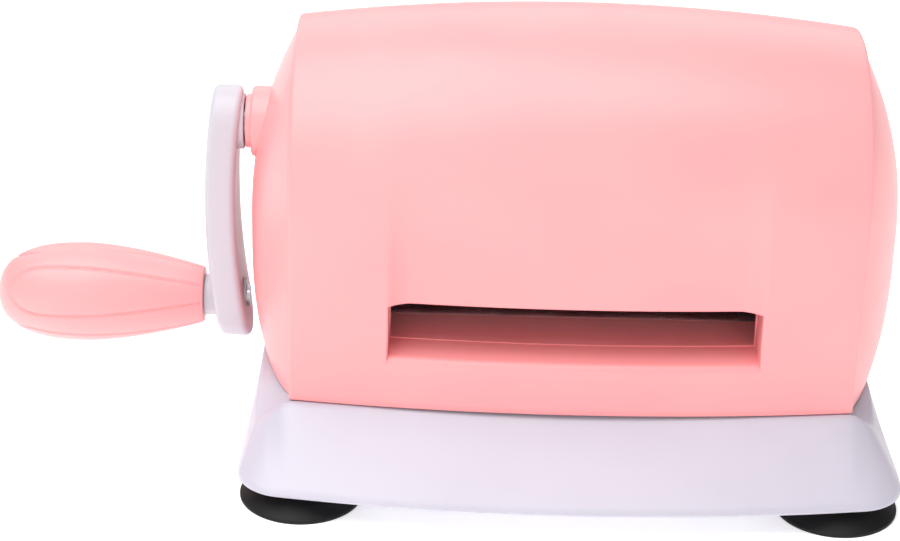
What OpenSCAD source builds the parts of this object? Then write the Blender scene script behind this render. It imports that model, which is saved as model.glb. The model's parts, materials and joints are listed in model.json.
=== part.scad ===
// Hand-cranked desktop die cutting machine.
// X runs along the rollers with the crank at the negative end, Y runs from the
// front slot to the rear slot, Z is up from the table.  The origin is on the
// table under the middle of the whole machine, its crank handle included.

/* [Housing] */
// Length of the housing between its two end faces
house_l = 126.2; // [124:0.2:132]
// Radius of the arched top at the end faces
arch_r = 34.6; // [34.2:0.2:37]
// Height of the centre of the arch above the table
arch_z = 62.4; // [61:0.2:65]
// How far front, top and rear swell out at mid length
swell = 4.2; // [3.4:0.1:5.5]
// Wall thickness of the plastic shells
wall = 2.4; // [2.2:0.1:2.6]

/* [Side covers] */
// How far the dome of a side cover stands out from the end face
dome_h = 10.4; // [9:0.2:10.4]
// Height of the fullest point of the domes above the table
dome_z = 51; // [49:0.5:53]

/* [Feed slot] */
// Width of the slot that the cutting sandwich goes through
slot_w = 82; // [70:1:84]
// Height of the slot
slot_h = 12.4; // [11.8:0.2:14]
// Height of the slot floor above the table
slot_z = 32.6; // [32.2:0.2:33]
// Height at which the scooped panel above the slot starts
scoop_top = 77; // [66:1:82]
// Depth of the scooped panel at the slot
scoop_d = 2.6; // [1.6:0.2:3.2]

/* [Base] */
// Width of the base at its lower edge
base_w = 148; // [146:1:156]
// Depth of the base at its lower edge
base_d = 116.4; // [114:0.4:124]
// Height of the lower edge of the base above the table
base_z = 5.6; // [5.2:0.2:6]
// Height of the deck that the housing stands on
deck_z = 20; // [19.8:0.1:20.2]
// Radius of the base corners seen from above
base_corner = 11; // [10:1:18]
// Radius of the rim of a suction foot
foot_r = 13.8; // [12:0.2:14]

/* [Rollers and frame] */
// Diameter of both pressure rollers
roller_d = 18; // [17:0.5:18.5]
// Length of the working face of the rollers
roller_l = 90; // [84:1:90]
// Gap between the two rollers
nip = 9.5; // [9:0.1:10.2]
// Diameter of the roller journals and of the crank shaft
journal_d = 8; // [7:0.5:8]
// Distance of each frame plate from mid length to its inner face
frame_x = 47; // [47:0.5:48]
// Thickness of the steel frame plates
frame_t = 2; // [1.6:0.2:2]

/* [Gears] */
// Teeth on the pinion on the crank shaft
pinion_teeth = 12; // [12:1:14]
// Teeth on the large gear on the upper roller
drive_teeth = 30; // [28:2:34]
// Teeth on each of the two gears that tie the rollers together
sync_teeth = 24; // [20:2:28]
// Width of the gear teeth
gear_w = 6; // [4:0.5:6]

/* [Crank] */
// Height of the crank shaft above the table
crank_z = 73.1; // [72.6:0.1:74]
// Distance from the crank shaft to the grip
crank_r = 44.1; // [42:0.1:48]
// Thickness of the crank arm
arm_t = 8.2; // [8:0.1:8.8]
// Length of the grip
grip_l = 48; // [44:1:54]
// Largest diameter of the grip
grip_d = 23; // [20:0.5:26]

/* [Fits] */
// Radial clearance of a shaft that turns in its bush
run_fit = 0.04; // [0.02:0.01:0.08]
// Gap between shells and between parts that pass each other
gap = 0.3; // [0.2:0.05:0.4]

/* [Hidden] */
$fn = 96;

house_x = house_l / 2;
// Radius of the swelling faces seen from above
bow_r = (house_x * house_x + swell * swell) / (2 * swell);
cover_inset = wall + 0.15;
// Radii of the dome seen from the front and from above: both arcs end at the end face
dome_half_h = arch_z + arch_r - dome_z;
dome_half_w = arch_r - cover_inset;
dome_side_r = (dome_half_h * dome_half_h + dome_h * dome_h) / (2 * dome_h);
dome_plan_r = (dome_half_w * dome_half_w + dome_h * dome_h) / (2 * dome_h);
cover_wall = 2;
rim_l = 5;

tunnel_y = 25.6;
slot_top = slot_z + slot_h;

base_top_w = base_w - 9;
base_top_d = base_d - 36.8;
base_bow_r = 416;
base_top_bow_r = 1400;
base_top_corner = 8;
base_rim_h = 2.4;
opening_x = 58;
opening_y = 15.8;
foot_x = base_w / 2 - 14.1;
foot_y = base_d / 2 - 17.2;
foot_neck_r = 3.5;
plate_t = 2;

journal_r = journal_d / 2;
roller_r = roller_d / 2;
lower_z = slot_z + 0.4 - roller_r;
upper_z = lower_z + roller_d + nip;
bush_r = journal_r + 2;
bush_flange_r = bush_r + 1.5;
bush_flange_t = 1;
frame_out = frame_x + frame_t;
gear_x = frame_out + 1;
hub_gap = 0.3;
clip_t = 0.8;
clip_x = gear_x + gear_w + gap;
flat_depth = 0.8;
groove_depth = 0.6;
flat_x = frame_out + hub_gap;

pressure_angle = 25;
backlash = 0.14;
drive_module = 2 * (crank_z - upper_z) / (pinion_teeth + drive_teeth);
sync_module = (upper_z - lower_z) / sync_teeth;

tie_r = 3;
tie_upper = [20, 66];
tie_lower = [20, 27.4];
tie_screw_r = 2;

boss_r = 8;
boss_out = house_x + dome_h - 0.1;
boss_in = house_x + 2.9;
boss_bush_r = journal_r + 1;

arm_bow_r = 300;
arm_bow_z = crank_z - 18;
arm_in = house_x + dome_h + 1.7;
arm_out = arm_in + arm_t;
arm_top_r = 8.1;
arm_low_r = 9.4;
arm_skin = 2.4;
arm_rim = 1.9;
hub_r = 6.4;
pocket_r = 4.6;
pocket_d = 2.3;
hub_washer_t = 0.6;
hub_in = boss_out + gap;
grip_z = crank_z - crank_r;
arm_out_low = arm_out - pow(arm_bow_z - grip_z, 2) / (2 * arm_bow_r);
arm_out_hub = arm_out - pow(crank_z - arm_bow_z, 2) / (2 * arm_bow_r);
neck_r = 5.4;
neck_out = arm_out_low + 2.4;
grip_in = neck_out + gap;
grip_out = grip_in + grip_l;
grip_r = grip_d / 2;
grip_end_r = 6.5;
grip_belly = 0.567;
pin_r = 3;
pin_head_r = 4.6;
pin_thread_r = 2.5;
sleeve_r = 5;

// The footprint runs from the end of the grip to the right edge of the base
mid_x = (grip_out - base_w / 2) / 2;

pink = [1, 0.74, 0.75];
lavender = [0.93, 0.89, 0.95];
steel = [0.72, 0.73, 0.75];
dark_rubber = [0.09, 0.09, 0.1];
nylon = [0.93, 0.92, 0.88];

// ---- helpers ----

// Everything is drawn about the middle of the housing, then moved into place
module place() {
    translate([mid_x, 0, 0]) children();
}

// Turns a shape drawn along Z so that it runs along +X
module along_x() {
    rotate([0, 90, 0]) children();
}

// A cylinder along X between two X positions
module rod(x0, x1, r, y, z) {
    translate([min(x0, x1), y, z]) along_x() cylinder(h = abs(x1 - x0), r = r);
}

module box(x0, x1, y0, y1, z0, z1) {
    translate([min(x0, x1), min(y0, y1), min(z0, z1)])
        cube([abs(x1 - x0), abs(y1 - y0), abs(z1 - z0)]);
}

// Draws children at the four sign pairs
module four(x, y) {
    for (sx = [-1, 1], sy = [-1, 1]) translate([sx * x, sy * y, 0]) children();
}

// The arched housing volume, set in by inset from the outer skin
module arch_solid(inset, half_l, z0) {
    bow_c = bow_r - arch_r - swell;
    translate([0, 0, arch_z]) along_x()
        rotate_extrude(angle = 180, start = 90)
            intersection() {
                translate([0, -half_l]) square([arch_r + swell + 1, 2 * half_l]);
                translate([-bow_c, 0]) circle(r = bow_r - inset, $fn = 720);
            }
    translate([0, 0, z0]) linear_extrude(arch_z - z0)
        intersection() {
            square([2 * half_l, 3 * arch_r], center = true);
            translate([0, bow_c]) circle(r = bow_r - inset, $fn = 720);
            translate([0, -bow_c]) circle(r = bow_r - inset, $fn = 720);
        }
}

// End outline of the housing, drawn in the YZ plane and run from x0 to x1
module end_prism(inset, z0, x0, x1) {
    translate([x0, 0, 0]) rotate([90, 0, 90]) linear_extrude(x1 - x0) {
        translate([0, arch_z]) circle(r = arch_r - inset);
        translate([-arch_r + inset, z0]) square([2 * (arch_r - inset), arch_z - z0]);
    }
}

// Base outline seen from above: straight sides, bowed front and rear, round corners
module base_outline(w, d, corner, bow, inset) {
    bow_c = bow - d / 2;
    corner_x = w / 2 - corner;
    corner_y = sqrt(pow(bow - corner, 2) - corner_x * corner_x) - bow_c;
    hull() {
        four(corner_x, corner_y) circle(r = corner - inset, $fn = 48);
        intersection() {
            square([2 * corner_x, d], center = true);
            translate([0, bow_c]) circle(r = bow - inset, $fn = 360);
            translate([0, -bow_c]) circle(r = bow - inset, $fn = 360);
        }
    }
}

// Sloping plinth between the lower edge and the deck
module plinth(inset, z0, z1) {
    hull() {
        translate([0, 0, z0]) linear_extrude(base_rim_h)
            base_outline(base_w, base_d, base_corner, base_bow_r, inset);
        translate([0, 0, z1 - 0.2]) linear_extrude(0.2)
            base_outline(base_top_w, base_top_d, base_top_corner, base_top_bow_r, inset);
    }
}

// Radius where the involute reaches its angle, and the point list of one gear
function involute(rb, r) = r <= rb ? 0 : sqrt(pow(r / rb, 2) - 1) * 180 / PI - acos(rb / r);
function tooth_half(rp, rb, r, teeth) =
    90 / teeth - backlash / (2 * rp) * 180 / PI + involute(rb, rp) - involute(rb, r);
function polar(r, a) = [r * cos(a), r * sin(a)];
function gear_points(teeth, size, phase) =
    let (rp = teeth * size / 2,
         rb = rp * cos(pressure_angle),
         ra = rp + 0.95 * size,
         rf = rp - 1.2 * size,
         r0 = max(rb, rf),
         radii = [for (i = [0:5]) r0 + (ra - r0) * i / 5])
    [for (k = [0:teeth - 1])
        let (c = phase + 360 / teeth * k)
        each concat(
            [polar(rf, c - tooth_half(rp, rb, r0, teeth))],
            rf < r0 ? [polar(radii[0], c - tooth_half(rp, rb, radii[0], teeth))] : [],
            [for (i = [1:5]) polar(radii[i], c - tooth_half(rp, rb, radii[i], teeth))],
            [for (i = [5:-1:1]) polar(radii[i], c + tooth_half(rp, rb, radii[i], teeth))],
            rf < r0 ? [polar(radii[0], c + tooth_half(rp, rb, radii[0], teeth))] : [],
            [polar(rf, c + tooth_half(rp, rb, r0, teeth))]
        )];

// Round shaft with a flat, as a solid between two X positions on side s
module flatted(s, x0, x1, r, z) {
    difference() {
        rod(s * x0, s * x1, r, 0, z);
        box(s * (x0 - 1), s * (x1 + 1), -r - 1, r + 1, z + r - flat_depth, z + r + 1);
    }
}

// Gear outside the frame plate on side s, with a hub and a flatted bore
module gear(s, teeth, size, z, phase) {
    difference() {
        union() {
            translate([s > 0 ? gear_x : -gear_x - gear_w, 0, z])
                rotate([90, 0, 90]) linear_extrude(gear_w) polygon(gear_points(teeth, size, phase));
            rod(s * flat_x, s * (gear_x + 0.5), min(journal_r + 1.4, (teeth / 2 - 1.2) * size - 0.05), 0, z);
        }
        flatted(s, flat_x - 1, gear_x + gear_w + 1, journal_r, z);
    }
}

// Open retaining ring in the groove that starts at x0, opening downwards
module circlip(s, x0, r, z) {
    difference() {
        rod(s * x0, s * (x0 + clip_t), r + 1.6, 0, z);
        rod(s * (x0 - 1), s * (x0 + clip_t + 1), r - groove_depth, 0, z);
        box(s * (x0 - 1), s * (x0 + clip_t + 1), -1.6, 1.6, z - r - 3, z);
    }
}

module groove(s, x0, r, z) {
    difference() {
        rod(s * x0, s * (x0 + clip_t), r + 1, 0, z);
        rod(s * (x0 - 1), s * (x0 + clip_t + 1), r - groove_depth, 0, z);
    }
}

// Pan-head screw pointing along -Z, its head resting on z = 0, with a cross recess
module screw(len, r, head_h = 0) {
    head_r = 1.9 * r;
    top = head_h > 0 ? head_h : 1.2 * r;
    translate([0, 0, -len]) cylinder(h = len, r = r);
    difference() {
        cylinder(h = top, r = head_r);
        for (a = [0, 90]) rotate([0, 0, a])
            translate([-head_r / 2, -0.3 * r, top / 2]) cube([head_r, 0.6 * r, top]);
    }
}

// ---- base ----
frame_ear_x = 57.9;
frame_screw_at = [54.6, 21];
housing_screw_at = [44, 31];
cover_screw_at = [60.6, 12];
plate_screw_at = [30, 44];
screw_r = 1.6;

module base_shell() {
    color(lavender) place() difference() {
        union() {
            difference() {
                plinth(0, base_z, deck_z);
                difference() {
                    plinth(wall, base_z - 0.01, deck_z - wall);
                    four(frame_screw_at[0], frame_screw_at[1])
                        translate([0, 0, 10]) cylinder(h = 20, r = 3.4);
                    four(plate_screw_at[0], plate_screw_at[1])
                        translate([0, 0, base_z + plate_t]) cylinder(h = 20, r = 3.4);
                }
            }
        }
        box(-opening_x, opening_x, -opening_y, opening_y, deck_z - 10, deck_z + 1);
        four(frame_screw_at[0], frame_screw_at[1])
            translate([0, 0, deck_z - 8]) cylinder(h = 9, r = screw_r);
        four(housing_screw_at[0], housing_screw_at[1])
            translate([0, 0, deck_z - 9]) cylinder(h = 10, r = screw_r);
        four(cover_screw_at[0], cover_screw_at[1])
            translate([0, 0, deck_z - 9]) cylinder(h = 10, r = screw_r);
        four(plate_screw_at[0], plate_screw_at[1])
            translate([0, 0, base_z - 1]) cylinder(h = plate_t + 6, r = screw_r);
    }
}

module base_plate() {
    color(lavender) place() difference() {
        translate([0, 0, base_z]) linear_extrude(plate_t)
            base_outline(base_w, base_d, base_corner, base_bow_r, wall + 0.9);
        four(foot_x, foot_y)
            translate([0, 0, base_z - 1]) cylinder(h = plate_t + 2, r = foot_neck_r);
        four(plate_screw_at[0], plate_screw_at[1])
            translate([0, 0, base_z - 1]) cylinder(h = plate_t + 2, r = screw_r);
    }
}

module base_plate_screws() {
    color(steel) place() four(plate_screw_at[0], plate_screw_at[1])
        translate([0, 0, base_z]) rotate([180, 0, 0]) screw(plate_t + 5, screw_r);
}

// Suction foot: a rubber cup whose neck snaps through the base plate
module foot(sx, sy) {
    cup_h = base_z;
    color(dark_rubber) place() translate([sx * foot_x, sy * foot_y, 0])
        rotate_extrude() polygon([
            [0, 1.6], [foot_r - 3.4, 1.1], [foot_r - 1, 0], [foot_r, 0], [foot_r - 0.3, 1.2],
            [foot_r - 3, 3], [8, 4.4], [6.6, cup_h], [foot_neck_r, cup_h],
            [foot_neck_r, cup_h + plate_t], [foot_neck_r + 1.6, cup_h + plate_t],
            [foot_neck_r - 0.6, cup_h + plate_t + 3], [0, cup_h + plate_t + 3]
        ]);
}
module front_left_foot() { foot(-1, -1); }
module front_right_foot() { foot(1, -1); }
module rear_left_foot() { foot(-1, 1); }
module rear_right_foot() { foot(1, 1); }

// ---- frame ----
platform_tab = [15, 22];
platform_in = 14.6;
platform_t = 2;

// Steel side plate with two feet bent outwards; the left one carries the crank shaft
module frame(s, crank_side) {
    color(steel) place() difference() {
        union() {
            translate([s > 0 ? frame_x : -frame_out, 0, 0]) rotate([90, 0, 90]) linear_extrude(frame_t) {
                translate([-25, deck_z]) square([50, 54 - (deck_z - 16)]);
                translate([-14.5, 13]) square([29, 20]);
                translate([0, crank_z - 1]) circle(r = 13);
                translate([-13, deck_z + 20]) square([26, crank_z - deck_z - 21]);
            }
            for (sy = [-1, 1])
                box(s * frame_x, s * frame_ear_x, sy * 17, sy * 25, deck_z, deck_z + frame_t);
        }
        rod(s * (frame_x - 1), s * (frame_out + 1), bush_r, 0, upper_z);
        rod(s * (frame_x - 1), s * (frame_out + 1), bush_r, 0, lower_z);
        if (crank_side) rod(s * (frame_x - 1), s * (frame_out + 1), bush_r, 0, crank_z);
        for (sy = [-1, 1], at = [tie_upper, tie_lower])
            rod(s * (frame_x - 1), s * (frame_out + 1), tie_screw_r, sy * at[0], at[1]);
        for (sy = [-1, 1]) {
            box(s * (frame_x - 1), s * (frame_out + 1), sy * platform_tab[0], sy * platform_tab[1],
                slot_z - platform_t, slot_z);
            translate([s * frame_screw_at[0], sy * frame_screw_at[1], deck_z - 1])
                cylinder(h = frame_t + 2, r = screw_r);
        }
    }
}
module left_frame() { frame(-1, true); }
module right_frame() { frame(1, false); }

module frame_screws() {
    color(steel) place() four(frame_screw_at[0], frame_screw_at[1])
        translate([0, 0, deck_z + frame_t]) screw(frame_t + 7, screw_r);
}

module tie_rod(sy, at) {
    color(steel) place() difference() {
        rod(-frame_x, frame_x, tie_r, sy * at[0], at[1]);
        for (s = [-1, 1])
            rod(s * (frame_x - 9), s * (frame_x + 1), tie_screw_r, sy * at[0], at[1]);
    }
}
module upper_front_tie_rod() { tie_rod(-1, tie_upper); }
module upper_rear_tie_rod() { tie_rod(1, tie_upper); }
module lower_front_tie_rod() { tie_rod(-1, tie_lower); }
module lower_rear_tie_rod() { tie_rod(1, tie_lower); }

module tie_rod_screws() {
    color(steel) place()
        for (s = [-1, 1], sy = [-1, 1], at = [tie_upper, tie_lower])
            translate([s * frame_out, sy * at[0], at[1]]) rotate([0, s * 90, 0]) screw(8, tie_screw_r);
}

// Flanged bush seated in a frame plate, its flange on the inner face
module bush(s, z) {
    color(nylon) place() difference() {
        union() {
            rod(s * frame_x, s * frame_out, bush_r, 0, z);
            rod(s * (frame_x - bush_flange_t), s * frame_x, bush_flange_r, 0, z);
        }
        rod(s * (frame_x - 3), s * (frame_out + 1), journal_r + run_fit, 0, z);
    }
}
module upper_left_bush() { bush(-1, upper_z); }
module upper_right_bush() { bush(1, upper_z); }
module lower_left_bush() { bush(-1, lower_z); }
module lower_right_bush() { bush(1, lower_z); }
module frame_shaft_bush() { bush(-1, crank_z); }

// Floor between the slot and the rollers, hooked into the frame plates by its tabs
module feed_platform(sy) {
    color(pink) place() {
        box(-frame_x, frame_x, sy * platform_in, sy * (tunnel_y - gap),
            slot_z - platform_t, slot_z);
        for (s = [-1, 1])
            box(s * frame_x, s * frame_out, sy * platform_tab[0], sy * platform_tab[1],
                slot_z - platform_t, slot_z);
    }
}
module front_feed_platform() { feed_platform(-1); }
module rear_feed_platform() { feed_platform(1); }

// ---- housing ----

// Scooped panel on side sy: a wedge that deepens down to the slot
module scoop_wedge(sy, extra, half_w) {
    face = arch_r + swell;
    rotate([90, 0, 90]) translate([0, 0, -half_w]) linear_extrude(2 * half_w)
        polygon([
            [sy * (face + 3), scoop_top], [sy * (face - extra), scoop_top],
            [sy * (face - scoop_d - extra), slot_top], [sy * (face - scoop_d - extra), slot_top - 0.5],
            [sy * (face + 3), slot_top - 0.5]
        ]);
}

module housing_shell() {
    flare = 3.4;
    face = arch_r + swell;
    color(pink) place() difference() {
        union() {
            difference() {
                arch_solid(0, house_x, deck_z);
                arch_solid(wall, house_x + 4, deck_z - 1);
            }
            intersection() {
                arch_solid(wall / 2, house_x - 4, deck_z);
                for (sy = [-1, 1]) {
                    box(-slot_w / 2 - wall, slot_w / 2 + wall, sy * tunnel_y, sy * (face + 1),
                        slot_z - wall, slot_top + wall);
                    difference() {
                        scoop_wedge(sy, wall, slot_w / 2 + wall);
                        box(-slot_w, slot_w, -face, face, slot_z, slot_top + 0.1);
                    }
                }
            }
            four(housing_screw_at[0], housing_screw_at[1])
                translate([0, 0, deck_z]) cylinder(h = 8, r = 3.4);
        }
        box(-slot_w / 2, slot_w / 2, -face - 1, face + 1, slot_z, slot_top);
        for (sy = [-1, 1]) intersection() {
            scoop_wedge(sy, 0, slot_w / 2);
            linear_extrude(scoop_top + 1) polygon([
                [-slot_w / 2 - 1, sy * (face + 1)], [slot_w / 2 + 1, sy * (face + 1)],
                [slot_w / 2, sy * face],
                [slot_w / 2 - flare, sy * (face - scoop_d - 0.1)],
                [-slot_w / 2 + flare, sy * (face - scoop_d - 0.1)],
                [-slot_w / 2, sy * face]
            ]);
        }
        four(housing_screw_at[0], housing_screw_at[1])
            translate([0, 0, deck_z - 1]) cylinder(h = 7, r = screw_r);
    }
}

module housing_screws() {
    color(steel) place() four(housing_screw_at[0], housing_screw_at[1])
        translate([0, 0, deck_z - wall]) rotate([180, 0, 0]) screw(8, screw_r);
}

// Dome of the side covers: an arc seen from the front, swept about an upright axis
module dome(inset) {
    translate([house_x + dome_h - dome_plan_r, 0, 0])
        rotate_extrude(angle = 180, start = -90, $fn = 192)
            intersection() {
                translate([0, deck_z]) square([dome_plan_r, 2 * dome_half_h]);
                translate([dome_plan_r - dome_side_r, dome_z]) circle(r = dome_side_r - inset, $fn = 720);
            }
}

// Domed side cover on side s; the left one has the boss that the crank turns in
module side_cover(s, crank_side) {
    z0 = deck_z + 0.1;
    color(pink) place() difference() {
        union() {
            mirror([s > 0 ? 0 : 1, 0, 0]) difference() {
                union() {
                    intersection() {
                        dome(0);
                        end_prism(cover_inset, z0, house_x - 1, house_x + dome_h + 1);
                    }
                    end_prism(cover_inset, z0, house_x - rim_l, house_x);
                }
                end_prism(cover_inset + cover_wall, z0 + cover_wall, house_x - rim_l - 1, house_x - cover_wall);
                intersection() {
                    dome(cover_wall);
                    end_prism(cover_inset + cover_wall, z0 + cover_wall, house_x - rim_l, house_x + dome_h);
                }
            }
            for (sy = [-1, 1]) translate([s * cover_screw_at[0], sy * cover_screw_at[1], z0])
                cylinder(h = 8, r = 2.6);
            if (crank_side) rod(s * boss_in, s * boss_out, boss_r, 0, crank_z);
        }
        for (sy = [-1, 1]) translate([s * cover_screw_at[0], sy * cover_screw_at[1], z0 - 1])
            cylinder(h = 8, r = screw_r);
        if (crank_side) rod(s * (boss_in - 1), s * (boss_out + 1), boss_bush_r, 0, crank_z);
    }
}
module left_side_cover() { side_cover(-1, true); }
module right_side_cover() { side_cover(1, false); }

module side_cover_screws() {
    color(steel) place() four(cover_screw_at[0], cover_screw_at[1])
        translate([0, 0, deck_z - wall]) rotate([180, 0, 0]) screw(8, screw_r);
}

// Bush in the boss of the left cover, its flange inside the cover
module boss_shaft_bush() {
    color(nylon) place() difference() {
        union() {
            rod(-boss_out + 0.2, -boss_in, boss_bush_r, 0, crank_z);
            rod(-boss_in, -boss_in + 1, boss_bush_r + 1.5, 0, crank_z);
        }
        rod(-boss_out - 1, -boss_in + 2, journal_r + run_fit, 0, crank_z);
    }
}

// ---- rollers and gears ----
lower_left_end = frame_out + 3;

module roller(z, left_end, left_clip, left_flat) {
    right_end = clip_x + clip_t + 0.5;
    color(steel) place() difference() {
        union() {
            rod(-roller_l / 2, roller_l / 2, roller_r, 0, z);
            rod(-left_end, right_end, journal_r, 0, z);
        }
        groove(1, clip_x, journal_r, z);
        groove(-1, left_clip, journal_r, z);
        for (s = left_flat ? [-1, 1] : [1])
            box(s * flat_x, s * (right_end + 1), -journal_r - 1, journal_r + 1,
                z + journal_r - flat_depth, z + journal_r + 1);
    }
}
module upper_roller() { roller(upper_z, clip_x + clip_t + 0.5, clip_x, true); }
module lower_roller() { roller(lower_z, lower_left_end, frame_out + gap, false); }

module drive_gear() { color(nylon) place() gear(-1, drive_teeth, drive_module, upper_z, 90 + 180 / drive_teeth); }
module upper_sync_gear() { color(nylon) place() gear(1, sync_teeth, sync_module, upper_z, -90); }
module lower_sync_gear() { color(nylon) place() gear(1, sync_teeth, sync_module, lower_z, 90 + 180 / sync_teeth); }
module drive_pinion() { color(steel) place() gear(-1, pinion_teeth, drive_module, crank_z, -90); }

module upper_roller_circlips() {
    color(steel) place() for (s = [-1, 1]) circlip(s, clip_x, journal_r, upper_z);
}
module lower_roller_circlips() {
    color(steel) place() {
        circlip(1, clip_x, journal_r, lower_z);
        circlip(-1, frame_out + gap, journal_r, lower_z);
    }
}

// ---- crank ----
shaft_clip_in = frame_x - bush_flange_t - 0.2 - clip_t;
shaft_end = arm_out_hub - pocket_d - 1.5;

module crank_shaft() {
    r = journal_r;
    color(steel) place() difference() {
        rod(-shaft_clip_in + 1.2, -shaft_end, r, 0, crank_z);
        groove(-1, shaft_clip_in, r, crank_z);
        groove(-1, clip_x, r, crank_z);
        box(-flat_x, -clip_x - clip_t - 0.6, -r - 1, r + 1, crank_z + r - flat_depth, crank_z + r + 1);
        box(-hub_in + 0.1, -shaft_end - 1, -r - 1, r + 1, crank_z + r - flat_depth, crank_z + r + 1);
        rod(-shaft_end + 9, -shaft_end - 1, tie_screw_r, 0, crank_z);
    }
}

module crank_shaft_circlips() {
    color(steel) place() {
        circlip(-1, shaft_clip_in, journal_r, crank_z);
        circlip(-1, clip_x, journal_r, crank_z);
    }
}

// Outline of the arm in the YZ plane: two round ends joined by their tangents
module arm_outline(inset) {
    hull() {
        translate([0, crank_z]) circle(r = arm_top_r - inset, $fn = 64);
        translate([0, grip_z]) circle(r = arm_low_r - inset, $fn = 64);
    }
}

// Space on the housing side of an arc that bows outwards to x
module inside_bow(x) {
    translate([-x + arm_bow_r, -20, arm_bow_z]) rotate([-90, 0, 0])
        cylinder(h = 40, r = arm_bow_r, $fn = 720);
}

module arm_prism(inset) {
    translate([-arm_out - 2, 0, 0]) rotate([90, 0, 90]) linear_extrude(arm_t + 6) arm_outline(inset);
}

module crank_arm() {
    color(lavender) place() difference() {
        union() {
            difference() {
                intersection() { arm_prism(0); inside_bow(arm_out); }
                inside_bow(arm_in);
                intersection() { arm_prism(arm_rim); inside_bow(arm_out - arm_skin); }
            }
            rod(-hub_in, -arm_out_hub + 1, hub_r, 0, crank_z);
            rod(-arm_out_low + arm_skin + 1.6, -neck_out, neck_r, 0, grip_z);
        }
        flatted(-1, hub_in - 1, shaft_end, journal_r, crank_z);
        rod(-shaft_end + 1, -arm_out_hub - 1, tie_screw_r, 0, crank_z);
        rod(-arm_out_hub + pocket_d, -arm_out_hub - 3, pocket_r, 0, crank_z);
        rod(-arm_out_low + 5, -neck_out - 1, pin_thread_r, 0, grip_z);
    }
}

module hub_washer() {
    color(steel) place() difference() {
        rod(-arm_out_hub + pocket_d, -arm_out_hub + pocket_d - hub_washer_t, 4.2, 0, crank_z);
        rod(-arm_out_hub + pocket_d + 1, -arm_out_hub, tie_screw_r, 0, crank_z);
    }
}

module hub_screw() {
    color(steel) place() translate([-arm_out_hub + pocket_d - hub_washer_t, 0, crank_z])
        rotate([0, -90, 0]) screw(7, tie_screw_r, 1.5);
}

pin_head_x = grip_out - 6.5;
pin_nut_x = arm_out_low - arm_skin - 1.6;

module grip_pin() {
    color(steel) place() {
        rod(-pin_head_x, -pin_head_x + 2.4, pin_head_r, 0, grip_z);
        rod(-pin_head_x + 1, -neck_out, pin_r, 0, grip_z);
        rod(-neck_out - 1, -pin_nut_x + 4, pin_thread_r, 0, grip_z);
    }
}

module grip_pin_nut() {
    color(steel) place() difference() {
        translate([-pin_nut_x, 0, grip_z]) along_x() cylinder(h = 3.2, r = 4.6, $fn = 6);
        rod(-pin_nut_x - 1, -pin_nut_x + 5, pin_thread_r, 0, grip_z);
    }
}

// Radius of the grip at u, which runs from 0 at the arm to 1 at the far end
function grip_radius(u) = u > grip_belly
    ? grip_r * pow(max(0, 1 - pow((u - grip_belly) / (1 - grip_belly), 2.5)), 0.4)
    : grip_r - (grip_r - grip_end_r) * pow(1 - u / grip_belly, 1.6);

module grip() {
    steps = 15;
    near = [for (i = [0:steps]) let (u = grip_belly * i / steps) [grip_radius(u), u * grip_l]];
    far = [for (i = [1:steps])
        let (u = grip_belly + (1 - grip_belly) * sin(90 * i / steps)) [grip_radius(u), u * grip_l]];
    color(pink) place() difference() {
        translate([-grip_in, 0, grip_z]) rotate([0, -90, 0])
            rotate_extrude() polygon(concat([[0, 0]], near, far));
        rod(-grip_in + 1, -pin_head_x - 0.3, sleeve_r, 0, grip_z);
    }
}

// Sleeve pressed into the grip; it runs on the pin and keeps the pin's head in
module grip_bush() {
    color(nylon) place() difference() {
        rod(-grip_in, -pin_head_x + 2.4 + gap, sleeve_r, 0, grip_z);
        rod(-grip_in + 1, -pin_head_x, pin_r + run_fit, 0, grip_z);
    }
}

base_shell();
base_plate();
base_plate_screws();
front_left_foot();
front_right_foot();
rear_left_foot();
rear_right_foot();
left_frame();
right_frame();
frame_screws();
upper_front_tie_rod();
upper_rear_tie_rod();
lower_front_tie_rod();
lower_rear_tie_rod();
tie_rod_screws();
upper_left_bush();
upper_right_bush();
lower_left_bush();
lower_right_bush();
front_feed_platform();
rear_feed_platform();
housing_shell();
housing_screws();
left_side_cover();
right_side_cover();
side_cover_screws();
frame_shaft_bush();
boss_shaft_bush();
upper_roller();
drive_gear();
upper_sync_gear();
upper_roller_circlips();
lower_roller();
lower_sync_gear();
lower_roller_circlips();
crank_shaft();
drive_pinion();
crank_shaft_circlips();
crank_arm();
hub_washer();
hub_screw();
grip_pin();
grip_pin_nut();
grip();
grip_bush();
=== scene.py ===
# %% [markdown]
# # A hand-cranked die cutting machine
# The machine is a press for paper crafts. A plate with a steel die and a sheet of card goes into
# the slot, two steel rollers squeeze it, and a crank on the side turns them. What the eye meets is
# thin moulded plastic: a pink arched housing with domed ends, a lavender plinth on black suction
# feet, and a bowed crank arm with a plump grip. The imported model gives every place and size; here
# the moulded parts are modelled again with their fine shape, and all parts get their finish.

# %% Load the frame
import json
import math

import bmesh
import bpy
import numpy as np
from mathutils import Matrix, Vector


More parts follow.
